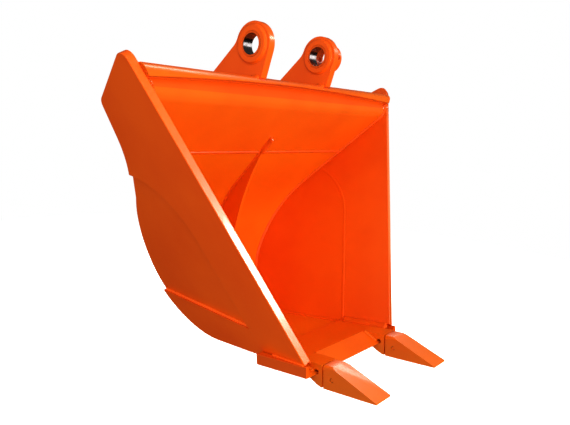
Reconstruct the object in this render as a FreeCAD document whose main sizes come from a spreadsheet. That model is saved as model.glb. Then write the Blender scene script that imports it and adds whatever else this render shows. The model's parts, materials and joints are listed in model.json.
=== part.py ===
import FreeCAD, Part
import math
import os
import Sketcher

# Trapezoidal ditch bucket for a 12 to 15 tonne excavator, a welded plate assembly.
# The bucket is drawn with its cutting edge level and then tipped back as it stands
# on the ground, on its two teeth and its heel. X is across, Y runs to the rear, Z up.

os.makedirs("parts", exist_ok=True)
doc = FreeCAD.newDocument("ditch_bucket")
V = FreeCAD.Vector

# Lengths are millimetres and angles are degrees.
SIZES = {
    # the cutting edge bar and the square blocks that close its ends
    "blade_length": 500,
    "blade_depth": 196,
    "blade_thickness": 34,
    "bevel_depth": 60,
    "blade_nose": 3,
    "block_width": 13,
    # the cheeks, thick side plates that lean back, flare out and toe in to the rear
    "cheek_outset": 6,
    "foot_setback": 10,
    "mouth_lean_angle": 16.47,
    "side_flare_angle": 25.0,
    "toe_in_angle": 6.25,
    "cheek_thickness": 25,
    "front_edge_length": 1019,
    "top_edge_angle": 17.95,
    "cheek_corner": 30,
    "strip_width": 184,
    "tail_curve_start": 458,
    # the shell that makes floor, heel and back, and the plates beside it
    "plate_thickness": 12,
    "floor_drop": 7,
    "heel_centre_depth": 428.7,
    "heel_radius": 228,
    "back_radius": 400,
    "arc_join_angle": 3.33,
    "back_slope_angle": 43.5,
    "seam_before_heel": 23.7,
    "back_bend_radius": 45,
    "back_behind_mouth": 2,
    "heel_plate_angle": 7.54,
    "heel_plate_front": 80,
    "heel_plate_proud": 2,
    # the lip bar along the top of the mouth
    "lip_top": 890,
    "lip_nose_radius": 25,
    "lip_overhang": 19,
    "lip_height": 38,
    "lip_arch": 21,
    # the torsion box behind the lip
    "box_behind_heel": 64.3,
    "box_rear_top": 775,
    "box_land_angle": 40.8,
    "box_rear_angle": 59.5,
    "box_bend_radius": 230,
    "box_rear_thickness": 10,
    "web_thickness": 12,
    # the two ears, their bosses and bushes
    "arm_pin_before_heel": 161,
    "arm_pin_height": 992.4,
    "pin_spacing": 385,
    "pin_line_angle": 39.42,
    "ear_edge_angle": 37.3,
    "ear_gap": 303.5,
    "ear_thickness": 26,
    "boss_height": 7.9,
    "boss_radius": 57,
    "bush_radius": 40,
    "pin_radius": 32.5,
    "arm_end_radius": 71,
    "link_end_radius": 68,
    "collar_radius": 50,
    "collar_reach": 41,
    "collar_play": 1.5,
    "bolt_hole_radius": 9,
    "bolt_hole_inset": 18,
    "ear_blend_radius": 60,
    "ear_toe_reach": 27,
    "ear_toe_drop": 5,
    # the rib along the middle of the shell
    "rib_thickness": 12,
    "rib_tip_run": 251,
    "rib_height": 97,
    "rib_height_angle": 25.4,
    "rib_foot_angle": -54,
    # the two teeth: adapter, point, lock pin and its retaining ring
    "tooth_inset": 70.1,
    "tooth_width": 72,
    "tip_width": 78.8,
    "tooth_bottom": -36.7,
    "tooth_top": 34,
    "tooth_rear": 26,
    "tooth_reach": 208,
    "tooth_edge": 4,
    "tooth_gap": 5,
    "collar_length": 28,
    "tooth_round": 10,
    "nose_width": 48,
    "nose_height": 50,
    "nose_length": 100,
    "nose_tip_width": 40,
    "nose_tip_height": 18,
    "nose_tip_drop": 15,
    "nose_play": 0.6,
    "adapter_leg": 80,
    "adapter_leg_thickness": 9,
    "adapter_leg_swell": 7.2,
    "adapter_lift": 1.5,
    "crotch_relief": 8,
    "lock_pin_radius": 6.5,
    "lock_pin_play": 0.08,
    "lock_pin_setback": 30,
    "lock_pin_height": -5,
    "lock_pin_recess": 1,
    "lock_pin_chamfer": 1.2,
    "retainer_radius": 11,
    "retainer_thickness": 6,
}

sheet = doc.addObject("Spreadsheet::Sheet", "Sizes")
for row, (alias, value) in enumerate(SIZES.items(), start=1):
    sheet.set(f"A{row}", alias)
    sheet.set(f"B{row}", str(value))
    sheet.setAlias(f"B{row}", alias)
doc.recompute()


def size(alias):
    """One driving size, read back from the sheet."""
    return float(sheet.get(alias))


# Points and paths in the side view: (Y, Z) pairs, with arcs as (through, end) pairs.

def polar(centre, radius, angle):
    turn = math.radians(angle)
    return centre[0] + radius * math.cos(turn), centre[1] + radius * math.sin(turn)


def gap_between(a, b):
    return math.dist(a, b)


def bearing(a, b):
    """The direction from a to b in degrees."""
    return math.degrees(math.atan2(b[1] - a[1], b[0] - a[0]))


def crossing(a, angle_a, b, angle_b):
    """Where the line through a at one angle meets the line through b at another."""
    ca, sa = math.cos(math.radians(angle_a)), math.sin(math.radians(angle_a))
    cb, sb = math.cos(math.radians(angle_b)), math.sin(math.radians(angle_b))
    run = ((b[0] - a[0]) * sb - (b[1] - a[1]) * cb) / (ca * sb - sa * cb)
    return a[0] + run * ca, a[1] + run * sa


def arc_about(centre, radius, start, end):
    """An arc step that ends at the angle end, by way of the angle half way."""
    return polar(centre, radius, (start + end) / 2), polar(centre, radius, end)


def is_arc(step):
    return isinstance(step[0], tuple)


def step_end(step):
    return step[1] if is_arc(step) else step


def backwards(path):
    """The same path walked from its end to its start."""
    ends = [step_end(step) for step in path]
    turned = [ends[-1]]
    for index in range(len(path) - 1, 0, -1):
        step = path[index]
        turned.append((step[0], ends[index - 1]) if is_arc(step) else ends[index - 1])
    return turned


def rounded_corner(before, corner, after, radius):
    """A corner between two lines as a tangent point and an arc step."""
    back, ahead = bearing(corner, before), bearing(corner, after)
    half = ((ahead - back + 180) % 360 - 180) / 2
    cut = radius / abs(math.tan(math.radians(half)))
    centre = polar(corner, radius / abs(math.sin(math.radians(half))), back + half)
    middle = polar(centre, radius, bearing(centre, corner))
    return polar(corner, cut, back), (middle, polar(corner, cut, ahead))


# The stand: tooth bottom and heel on the ground at the same time, and the origin on the
# ground under the middle of the whole bucket, from the tooth tips to the link pin's ears.

floor_inside = size("blade_thickness") - size("floor_drop")
heel_centre = (size("heel_centre_depth"), floor_inside + size("heel_radius"))
heel_reach = size("heel_radius") + size("plate_thickness") + size("heel_plate_proud")
tooth_heel = (-size("tooth_rear"), size("tooth_bottom"))
stand_line = gap_between(tooth_heel, heel_centre)
pitch = bearing(tooth_heel, heel_centre) - math.degrees(math.asin(heel_reach / stand_line))
tip_back = FreeCAD.Rotation(V(1, 0, 0), -pitch)
arm_pin = (heel_centre[0] - size("arm_pin_before_heel"), size("arm_pin_height"))
link_pin = polar(arm_pin, size("pin_spacing"), -size("pin_line_angle"))
ground = tip_back.multVec(V(0, *tooth_heel)).z
front_end = tip_back.multVec(V(0, -size("tooth_reach"), size("tooth_bottom"))).y
rear_end = tip_back.multVec(V(0, *link_pin)).y + size("link_end_radius")
STAND = FreeCAD.Placement(V(0, -(front_end + rear_end) / 2, -ground), tip_back)


def standing(place=None):
    """A place in the level drawing, carried to where the bucket stands."""
    return STAND.multiply(place) if place else STAND


# The document's objects: sketches, plates, rings and mirror images.

def add(kind, label):
    item = doc.addObject(kind, label)
    item.Label = label
    return item


def origin_plane(body, role):
    return next(plane for plane in body.Origin.OriginFeatures if plane.Role == role)


def draw(sketch, path):
    """A closed outline in a sketch, with each corner joined to the next."""
    corners = []
    ends = [step_end(step) for step in path]
    for here, step in zip(ends, path[1:] + path[:1]):
        there = step_end(step)
        if is_arc(step):
            through = step[0]
            edge = Part.Arc(V(*here, 0), V(*through, 0), V(*there, 0))
            turn = (through[0] - here[0]) * (there[1] - here[1])
            turn -= (through[1] - here[1]) * (there[0] - here[0])
            corners.append((1, 2) if turn > 0 else (2, 1))
        else:
            edge = Part.LineSegment(V(*here, 0), V(*there, 0))
            corners.append((1, 2))
        sketch.addGeometry(edge)
    for edge, (first, last) in enumerate(corners):
        following = (edge + 1) % len(corners)
        sketch.addConstraint(
            Sketcher.Constraint("Coincident", edge, last, following, corners[following][0]))


def total(sizes):
    """A driving size, or a sum of them, as a number and as an expression of the sheet."""
    names = sizes.split(" + ")
    return sum(size(name) for name in names), " + ".join("Sizes." + name for name in names)


def bound_circle(sketch, centre, sizes):
    """A circle in a sketch whose radius follows the sheet."""
    radius, expression = total(sizes)
    circle = sketch.addGeometry(Part.Circle(V(*centre, 0), V(0, 0, 1), radius))
    bound = sketch.addConstraint(Sketcher.Constraint("Radius", circle, radius))
    sketch.setExpression(f"Constraints[{bound}]", expression)
    return circle


def new_sketch(body, role):
    sketch = body.newObject("Sketcher::SketchObject", body.Name + "_outline")
    sketch.AttachmentSupport = [(origin_plane(body, role), "")]
    sketch.MapMode = "FlatFace"
    return sketch


def padded(label, role, path, thickness, place, inward=False, holes=()):
    """A plate: an outline on one plane of a body, given its thickness from the sheet."""
    body = add("PartDesign::Body", label)
    sketch = new_sketch(body, role)
    draw(sketch, path)
    for centre, radius in holes:
        bound_circle(sketch, centre, radius)
    pad = body.newObject("PartDesign::Pad", body.Name + "_pad")
    pad.Profile = sketch
    pad.Reversed = inward
    pad.setExpression("Length", thickness)
    body.Placement = standing(place)
    return body


def side_plate(label, path, thickness, left_face, holes=()):
    """A plate whose outline is drawn in the side view and grows to the right."""
    place = FreeCAD.Placement(V(left_face, 0, 0), FreeCAD.Rotation())
    return padded(label, "YZ_Plane", path, f"Sizes.{thickness}", place, holes=holes)


def ring(label, outer, inner, length, place):
    """A turned ring along the body's own X axis, with both radii from the sheet."""
    body = add("PartDesign::Body", label)
    sketch = new_sketch(body, "YZ_Plane")
    for radius in (outer, inner):
        circle = bound_circle(sketch, (0, 0), radius)
        sketch.addConstraint(Sketcher.Constraint("Coincident", circle, 3, -1, 1))
    pad = body.newObject("PartDesign::Pad", body.Name + "_pad")
    pad.Profile = sketch
    pad.setExpression("Length", length)
    body.Placement = standing(place)
    return body


def boolean(kind, label, base, tool):
    result = add("Part::" + kind, label)
    result.Base = base
    result.Tool = tool
    return result


def mirrored(right):
    """The left hand piece, a mirror image across the middle of the bucket."""
    left = add("Part::Mirroring", right.Label.replace("right", "left"))
    left.Source = right
    left.Normal = (1, 0, 0)
    left.Base = (0, 0, 0)
    return left


pieces = []


def pair(right):
    pieces.extend([right, mirrored(right)])


# Directions of the right hand cheek: up its front edge, rearward in the plate, outward.

lean = math.tan(math.radians(size("mouth_lean_angle")))
flare = math.tan(math.radians(size("side_flare_angle")))
taper = math.tan(math.radians(size("toe_in_angle")))
spread = flare + taper * lean
up_edge = V(flare, lean, 1).normalize()
outward = V(1, taper, -spread).normalize()
rearward = up_edge.cross(outward)
foot = V(size("blade_length") / 2 + size("cheek_outset"), size("foot_setback"),
         size("blade_thickness"))
cheek_turn = FreeCAD.Rotation(rearward, up_edge, outward, "XYZ")


def cheek_place(rear, up, out):
    """A place on the right cheek, measured from its foot along its own directions."""
    corner = foot + rearward * rear + up_edge * up + outward * out
    return FreeCAD.Placement(corner, cheek_turn)


def on_cheek(point):
    """A side view point as (rear, up) on the outer face of the cheek."""
    depth, height = point[0] - foot.y, point[1] - foot.z
    rear = (depth * up_edge.z - height * up_edge.y) / outward.x
    up = (height * rearward.y - depth * rearward.z) / outward.x
    return rear, up


def off_cheek(rear, up):
    """A point on the outer face of the cheek, seen in the side view."""
    point = foot + rearward * rear + up_edge * up
    return point.y, point.z


def half_width(depth, height, out=0.0):
    """Half the width between the cheeks' outer faces, or faces moved out from them."""
    across = foot.x + spread * (height - foot.z) - taper * (depth - foot.y)
    return across + out / outward.x


# Side view outlines of shell, back plate, lip and torsion box.

plate = size("plate_thickness")
inside = -size("cheek_thickness")
tangent_angle = 90 - size("back_slope_angle")
back_heading = 180 - size("back_slope_angle")
mouth_heading = 90 - size("mouth_lean_angle")
heel_to_back = size("back_radius") - size("heel_radius")
back_centre = polar(heel_centre, -heel_to_back, size("arc_join_angle"))


def shell_arcs(out):
    """Floor, heel and back as a path, out by a distance from the inside face."""
    heel, back = size("heel_radius") + out, size("back_radius") + out
    return [
        (size("blade_depth"), floor_inside - out),
        (heel_centre[0], floor_inside - out),
        arc_about(heel_centre, heel, -90, size("arc_join_angle")),
        arc_about(back_centre, back, size("arc_join_angle"), tangent_angle),
    ]


def seam(out):
    """The weld seam between shell and back plate, out from the inside face."""
    start = polar(back_centre, size("back_radius"), tangent_angle)
    rise = start[0] - heel_centre[0] + size("seam_before_heel")
    run = rise / math.cos(math.radians(size("back_slope_angle")))
    return polar(polar(start, run, back_heading), out, tangent_angle)


def mouth_line(out):
    """The upright front face of the back plate, or a face behind it."""
    front = size("foot_setback") + size("back_behind_mouth")
    return polar((front, foot.z), out, -size("mouth_lean_angle"))


def back_bend(out):
    """The bend at the top of the back plate, as a tangent point and an arc step."""
    corner = crossing(seam(out), back_heading, mouth_line(out), mouth_heading)
    above = polar(corner, plate, mouth_heading)
    return rounded_corner(seam(out), corner, above, size("back_bend_radius") - out)


def lip_rear(height):
    """The depth of the lip bar's rear face at a height."""
    return crossing(mouth_line(0), mouth_heading, (0, height), 0)[0]


lip_bottom = size("lip_top") - size("lip_height")
nose_centre = (lip_rear(lip_bottom) - size("lip_overhang") + size("lip_nose_radius"),
               size("lip_top") - size("lip_nose_radius"))
lip_front = nose_centre[0] - size("lip_nose_radius")


def nose_top():
    """Where the rounded nose meets the lip's rear face."""
    rear = (lip_rear(nose_centre[1]), nose_centre[1])
    away = math.radians(bearing(rear, nose_centre) - mouth_heading)
    reach = gap_between(rear, nose_centre)
    run = reach * math.cos(away)
    run += math.sqrt(size("lip_nose_radius") ** 2 - (reach * math.sin(away)) ** 2)
    return polar(rear, run, mouth_heading)


lip_crest = nose_top()
box_rear = heel_centre[0] + size("box_behind_heel")
box_edge = (box_rear, size("box_rear_top"))
box_fall = bearing(lip_crest, box_edge)
box_land_heading = -size("box_rear_angle")


def top_line(down):
    """A point of the torsion box top, down into the plate from its outer face."""
    return polar(box_edge, down, box_fall - 90)


def box_back(inward):
    """The rear plate's face from the top corner down to the shell's outside."""
    shell_outside = size("back_radius") + plate
    seat = polar(back_centre, shell_outside, size("box_land_angle"))
    on_face = polar(seat, -inward, 90 + box_land_heading)
    corner = crossing((box_rear - inward, 0), 90, on_face, box_land_heading)
    above = (corner[0], size("box_rear_top"))
    start, bend = rounded_corner(above, corner, on_face, size("box_bend_radius") - inward)
    return start, bend, landing(corner)


def landing(start):
    """Where a line of the rear plate meets the outside of the shell."""
    radius = size("back_radius") + plate
    away = bearing(start, back_centre)
    off = math.radians(away - box_land_heading)
    near = gap_between(start, back_centre)
    run = near * math.cos(off) - math.sqrt(radius ** 2 - (near * math.sin(off)) ** 2)
    return polar(start, run, box_land_heading)


bend_start, bend_arc, box_foot = box_back(0)
inner_start, inner_arc, inner_foot = box_back(size("box_rear_thickness"))
bend_end = step_end(bend_arc)


# The space between the cheeks' inner faces, which ends every plate that spans it.

def between_cheeks():
    """A trapezoid bar whose sides are the inner faces of the cheeks."""
    narrowing = math.hypot(spread, taper)
    along = V(0, spread, taper).normalize()
    upward = V(0, -taper, spread).normalize()
    below, above = foot.x / narrowing / 2, size("front_edge_length")
    bottom = half_width(foot.y, foot.z, inside) - narrowing * below
    top = half_width(foot.y, foot.z, inside) + narrowing * above
    path = [(-bottom, -below), (bottom, -below), (top, above), (-top, above)]
    reach = size("heel_centre_depth") + size("back_radius")
    start = V(0, foot.y, foot.z) + along * reach
    turn = FreeCAD.Rotation(V(1, 0, 0), upward, -along, "XYZ")
    length = "2 * (Sizes.heel_centre_depth + Sizes.back_radius)"
    return padded("between_cheeks", "XY_Plane", path, length, FreeCAD.Placement(start, turn))


gauge = between_cheeks()
stock_width = 2 * half_width(foot.y, size("lip_top"))


def spanning(label, path):
    """A plate across the bucket, from a side view outline, ended at the cheeks."""
    place = FreeCAD.Placement(V(-stock_width / 2, 0, 0), FreeCAD.Rotation())
    blank = padded(label + "_blank", "YZ_Plane", path, str(stock_width), place)
    return boolean("Common", label, blank, gauge)


def cutting_edge():
    depth, thick = size("blade_depth"), size("blade_thickness")
    path = [(0, 0), (depth, 0), (depth, thick), (size("bevel_depth"), thick),
            (0, size("blade_nose"))]
    return side_plate("cutting_edge", path, "blade_length", -size("blade_length") / 2)


def edge_block():
    block = add("Part::Box", "edge_block_right")
    block.setExpression("Length", "Sizes.block_width")
    block.setExpression("Width", "Sizes.blade_depth")
    block.setExpression("Height", "Sizes.blade_thickness")
    block.Placement = standing(FreeCAD.Placement(V(size("blade_length") / 2, 0, 0),
                                                 FreeCAD.Rotation()))
    return block


def shell_plate():
    inner = shell_arcs(0) + [seam(0)]
    outer = shell_arcs(plate) + [seam(plate)]
    return spanning("shell_plate", inner + backwards(outer))


def back_plate():
    under = top_line(plate)
    faces = []
    for out in (0, plate):
        start, bend = back_bend(out)
        top = crossing(mouth_line(out), mouth_heading, under, box_fall)
        faces.append([seam(out), start, bend, top])
    return spanning("back_plate", faces[0] + backwards(faces[1]))


def lip_bar():
    """The rounded bar on the front of the back plate, its lower edge arched."""
    crest = bearing(nose_centre, lip_crest)
    low = lip_bottom - size("lip_arch")
    path = [(lip_front, low), (lip_front, nose_centre[1]),
            arc_about(nose_centre, size("lip_nose_radius"), 180, crest),
            (lip_rear(low), low)]
    bar = spanning("lip_bar_straight", path)
    half = half_width(lip_front, size("lip_top"), inside)
    radius = (half ** 2 + size("lip_arch") ** 2) / (2 * size("lip_arch"))
    arch = add("Part::Cylinder", "lip_arch_cutter")
    arch.Radius = radius
    arch.Height = 4 * size("lip_nose_radius")
    centre = V(0, lip_rear(lip_bottom) + size("lip_nose_radius"),
               lip_bottom + size("lip_arch") - radius)
    arch.Placement = standing(FreeCAD.Placement(centre, FreeCAD.Rotation(V(1, 0, 0), 90)))
    return boolean("Cut", "lip_bar", bar, arch)


def box_rear_plate(shell):
    top_out = crossing(top_line(plate), box_fall, box_edge, 90)
    top_in = crossing(top_line(plate), box_fall, inner_start, 90)
    outer = [top_out, bend_start, bend_arc, box_foot]
    inner = [top_in, inner_start, inner_arc, inner_foot]
    seat = arc_about(back_centre, size("back_radius") + plate, bearing(back_centre, box_foot),
                     bearing(back_centre, inner_foot))
    plate_as_bent = spanning("box_rear_bent", outer + [seat] + backwards(inner)[1:])
    return boolean("Cut", "box_rear_plate", plate_as_bent, shell)


def box_top_plate():
    front = crossing(mouth_line(0), mouth_heading, top_line(plate), box_fall)
    rear = crossing(top_line(plate), box_fall, box_edge, 90)
    return spanning("box_top_plate", [lip_crest, box_edge, rear, front])


def box_web():
    """The stiffener inside the torsion box, in line with the ear above it."""
    under = top_line(plate)
    start, bend = back_bend(plate)
    top_front = crossing(mouth_line(plate), mouth_heading, under, box_fall)
    top_rear = crossing(under, box_fall, inner_start, 90)
    foot_point = crossing(seam(plate), back_heading, inner_start, tangent_angle)
    path = [top_front, top_rear, inner_start, foot_point, start, bend]
    middle = (size("ear_gap") + size("ear_thickness")) / 2 + size("boss_height")
    return side_plate("box_web_right", path, "web_thickness", middle - size("web_thickness") / 2)


def tail_curve():
    """The curve under the cheek's tail: tangent to its strip, through the tail's tip."""
    tip = on_cheek(bend_end)
    start = (size("strip_width"), size("tail_curve_start"))
    across, up = tip[0] - start[0], tip[1] - start[1]
    radius = (across ** 2 + up ** 2) / (2 * across)
    centre = (start[0] + radius, start[1])
    return tip, arc_about(centre, radius, bearing(centre, tip), 180)


def corner_names(shape, corners, reach):
    """The names of the edges through a plate that stand at the given corners."""
    names = []
    for index, edge in enumerate(shape.Edges, start=1):
        flat = [(vertex.X, vertex.Y) for vertex in edge.Vertexes]
        if len(flat) == 2 and math.dist(*flat) < reach:
            if any(math.dist(flat[0], corner) < reach for corner in corners):
                names.append(f"Edge{index}")
    return names


def cheek_plate():
    top_front = (0.0, size("front_edge_length"))
    top_rear = crossing(top_front, -size("top_edge_angle"), on_cheek(box_edge),
                        bearing(on_cheek(box_edge), on_cheek(bend_start)))
    middle = on_cheek(bend_arc[0])
    tip, curve = tail_curve()
    bottom = crossing((0, 0), bearing(on_cheek((foot.y, foot.z)), on_cheek((foot.y + 1, foot.z))),
                      (size("strip_width"), 0), 90)
    path = [(0.0, 0.0), top_front, top_rear, on_cheek(bend_start), (middle, tip), curve, bottom]
    body = padded("cheek_plate_right", "XY_Plane", path, "Sizes.cheek_thickness",
                  cheek_place(0, 0, 0), inward=True)
    doc.recompute()
    pad = body.Tip
    rounding = body.newObject("PartDesign::Fillet", "cheek_corners")
    rounding.Base = (pad, corner_names(pad.Shape, [top_front, top_rear], 1))
    rounding.setExpression("Radius", "Sizes.cheek_corner")
    return body


def slab(label, out, path, cheek):
    """A plate parallel to the cheek with a side view outline, butted to the cheek."""
    stock = size("front_edge_length")
    layer = add("Part::Box", label + "_layer")
    layer.Length = 2 * stock
    layer.Width = 2 * stock
    layer.setExpression("Height", "Sizes.plate_thickness")
    layer.Placement = standing(cheek_place(-stock, -stock, out))
    place = FreeCAD.Placement(V(0, 0, 0), FreeCAD.Rotation())
    outline = padded(label + "_outline", "YZ_Plane", path, str(stock_width), place)
    whole = boolean("Common", label + "_whole", outline, layer)
    return boolean("Cut", label, whole, cheek)


def side_wall(cheek):
    """The thin wall that closes the side between the cheek and the shell."""
    behind = off_cheek(size("strip_width") / 2, size("strip_width") / 2)
    covered = polar(bend_end, plate, 180 + box_land_heading)
    shoulder = off_cheek(size("strip_width") / 2, on_cheek(covered)[1])
    floor_end = (size("blade_depth"), size("blade_thickness"))
    path = shell_arcs(plate)[:3]
    path.append(arc_about(back_centre, size("back_radius") + plate, size("arc_join_angle"),
                          bearing(back_centre, box_foot)))
    path += [bend_end, covered, shoulder, behind, floor_end]
    return slab("side_wall_right", inside, path, cheek)


def heel_plate(cheek):
    """The wear plate on the lower side, its edge a little proud of the shell."""
    out = plate + size("heel_plate_proud")
    front_top = (size("blade_depth"), floor_inside + size("heel_plate_front"))
    rise = math.radians(size("heel_plate_angle"))
    radius = size("heel_radius") + out
    drop = heel_centre[1] - front_top[1] - (heel_centre[0] - front_top[0]) * math.tan(rise)
    rear_angle = size("heel_plate_angle") - math.degrees(math.asin(drop * math.cos(rise) / radius))
    path = [(size("blade_depth"), floor_inside - out), (heel_centre[0], floor_inside - out),
            arc_about(heel_centre, radius, -90, rear_angle), front_top]
    return slab("heel_plate_right", inside + plate, path, cheek)


def centre_rib():
    start = polar(back_centre, size("back_radius"), tangent_angle)
    tip = polar(start, size("rib_tip_run"), back_heading)
    crown = polar(back_centre, size("back_radius") - size("rib_height"), size("rib_height_angle"))
    foot_point = polar(heel_centre, size("heel_radius"), size("rib_foot_angle"))
    path = [tip, (crown, foot_point),
            arc_about(heel_centre, size("heel_radius"), size("rib_foot_angle"), size("arc_join_angle")),
            arc_about(back_centre, size("back_radius"), size("arc_join_angle"), tangent_angle)]
    return side_plate("centre_rib", path, "rib_thickness", -size("rib_thickness") / 2)


# The ears: one outline for both, with a round end and a through boss for each pin.

ear_left_face = size("ear_gap") / 2 + size("boss_height")


def touching(point, centre, radius, side):
    """The angle on a circle where a line from an outside point touches it."""
    reach = math.degrees(math.acos(radius / gap_between(point, centre)))
    return bearing(centre, point) + side * reach


def ear():
    arm, link, blend = size("arm_end_radius"), size("link_end_radius"), size("ear_blend_radius")
    edge_normal = 90 - size("ear_edge_angle")
    edge_point = polar(link_pin, link, edge_normal)
    square = math.radians(bearing(edge_point, arm_pin) - edge_normal)
    arm_offset = gap_between(edge_point, arm_pin) * math.cos(square)
    across = blend - arm_offset
    along = math.sqrt((arm + blend) ** 2 - across ** 2)
    blend_centre = polar(polar(arm_pin, across, edge_normal), along, edge_normal - 90)
    arm_leave = bearing(arm_pin, blend_centre)
    blend_end = edge_normal + 180
    blend_start = arm_leave + 180
    toe = (nose_centre[0] - size("ear_toe_reach"), size("lip_top") - size("ear_toe_drop"))
    nose_angle = 180 - math.degrees(math.asin((toe[1] - nose_centre[1]) / size("lip_nose_radius")))
    arm_meet = touching(toe, arm_pin, arm, -1) % 360
    link_leave = touching(bend_start, link_pin, link, 1)
    link_leave = edge_normal - (edge_normal - link_leave) % 360
    path = [toe, polar(arm_pin, arm, arm_meet),
            arc_about(arm_pin, arm, arm_meet, arm_leave),
            arc_about(blend_centre, blend, blend_start, blend_end),
            edge_point,
            arc_about(link_pin, link, edge_normal, link_leave),
            bend_start, box_edge, lip_crest,
            arc_about(nose_centre, size("lip_nose_radius"), bearing(nose_centre, lip_crest),
                      nose_angle)]
    holes = [(arm_pin, "boss_radius"), (link_pin, "boss_radius")]
    return side_plate("ear_right", path, "ear_thickness", ear_left_face, holes)


def bosses_and_bushes():
    """On each pin line: a boss right through the ear, and the steel bush pressed into it."""
    length = "Sizes.ear_thickness + 2 * Sizes.boss_height"
    for name, pin in (("arm", arm_pin), ("link", link_pin)):
        place = FreeCAD.Placement(V(size("ear_gap") / 2, *pin), FreeCAD.Rotation())
        pair(ring(f"{name}_boss_right", "boss_radius", "bush_radius", length, place))
        pair(ring(f"{name}_bush_right", "bush_radius", "pin_radius", length, place))


def pin_collar(name, pin):
    """A collar outside the right ear, cross-drilled for the bolt that locks the pin."""
    outer_face = ear_left_face + size("ear_thickness") + size("boss_height")
    place = FreeCAD.Placement(V(outer_face, *pin), FreeCAD.Rotation())
    collar = ring(f"{name}_collar_turned", "collar_radius", "pin_radius + collar_play",
                  "Sizes.collar_reach", place)
    drill = add("Part::Cylinder", f"{name}_bolt_drill")
    drill.setExpression("Radius", "Sizes.bolt_hole_radius")
    drill.setExpression("Height", "4 * Sizes.collar_radius")
    start = V(outer_face + size("collar_reach") - size("bolt_hole_inset"),
              pin[0] - 2 * size("collar_radius"), pin[1])
    drill.Placement = standing(FreeCAD.Placement(start, FreeCAD.Rotation(V(1, 0, 0), -90)))
    return boolean("Cut", f"{name}_collar_right", collar, drill)


# The teeth. Each adapter's nose sits in the pocket of its point, held by a cross pin.

tooth_middle = size("blade_length") / 2 - size("tooth_inset")
shoulder = -size("tooth_rear") + size("tooth_gap")


def nose(label, play):
    """The tapered nose of the adapter, or with play around it the pocket of the point."""
    width, height = size("nose_width") / 2 + play, size("nose_height") / 2 + play
    tip_width, tip_height = size("nose_tip_width") / 2 + play, size("nose_tip_height") / 2 + play
    middle = (size("tooth_top") + size("tooth_bottom")) / 2
    tip_middle = middle - size("nose_tip_drop")
    wedge = add("Part::Wedge", label)
    wedge.Xmin, wedge.Xmax = -tip_width, tip_width
    wedge.Zmin, wedge.Zmax = tip_middle - tip_height, tip_middle + tip_height
    wedge.X2min, wedge.X2max = -width, width
    wedge.Z2min, wedge.Z2max = middle - height, middle + height
    wedge.Ymin = shoulder - size("nose_length") - play
    wedge.Ymax = shoulder
    wedge.Placement = standing(FreeCAD.Placement(V(tooth_middle, 0, 0), FreeCAD.Rotation()))
    return wedge


def pin_drill(label):
    """The hole for the lock pin, right across the tooth."""
    drill = add("Part::Cylinder", label)
    drill.setExpression("Radius", "Sizes.lock_pin_radius + Sizes.lock_pin_play")
    drill.setExpression("Height", "2 * Sizes.tip_width")
    start = V(tooth_middle - size("tip_width"), -size("tooth_rear") - size("lock_pin_setback"),
              size("lock_pin_height"))
    drill.Placement = standing(FreeCAD.Placement(start, FreeCAD.Rotation(V(0, 1, 0), 90)))
    return drill


def tooth_adapter():
    """Two legs astride the cutting edge, a shoulder, and the nose in front of it."""
    top, bottom = size("blade_thickness"), size("tooth_bottom") + size("adapter_lift")
    relief = size("crotch_relief")
    slope = (size("blade_thickness") - size("blade_nose")) / size("bevel_depth")
    relief_top = (relief, size("blade_nose") + slope * relief)
    leg = size("adapter_leg_thickness")
    path = [(shoulder, bottom), (shoulder, top), (size("bevel_depth"), top), relief_top,
            ((-relief, (relief_top[1] + size("blade_nose")) / 2), (0, 0)),
            (size("adapter_leg"), 0), (size("adapter_leg"), -leg),
            (-shoulder, -leg - size("adapter_leg_swell")),
            ((0, bottom + size("adapter_leg_swell")), (shoulder + size("tooth_gap"), bottom))]
    left_face = tooth_middle - size("tooth_width") / 2
    body = side_plate("adapter_legs", path, "tooth_width", left_face)
    joined = boolean("Fuse", "adapter_solid", body, nose("adapter_nose", 0.0))
    drilled = boolean("Cut", "adapter_drilled", joined, pin_drill("adapter_drill"))
    seat = add("Part::Cylinder", "retainer_seat")
    seat.setExpression("Radius", "Sizes.retainer_radius")
    seat.setExpression("Height", "Sizes.retainer_thickness * 2")
    seat.Placement = retainer_place(size("retainer_thickness"))
    return boolean("Cut", "tooth_adapter_right", drilled, seat)


def nose_side(setback):
    """Half the width of the nose at a distance in front of the shoulder."""
    share = setback / size("nose_length")
    return (size("nose_width") * (1 - share) + size("nose_tip_width") * share) / 2


def retainer_place(length):
    """The place of a ring of this length, its outer face just inside the nose's side."""
    pin_front = size("lock_pin_setback") + size("tooth_gap")
    face = tooth_middle + nose_side(pin_front + size("retainer_radius"))
    start = V(face - size("retainer_thickness"), -size("tooth_rear") - size("lock_pin_setback"),
              size("lock_pin_height"))
    return standing(FreeCAD.Placement(start, FreeCAD.Rotation(V(0, 1, 0), 90)))


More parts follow.
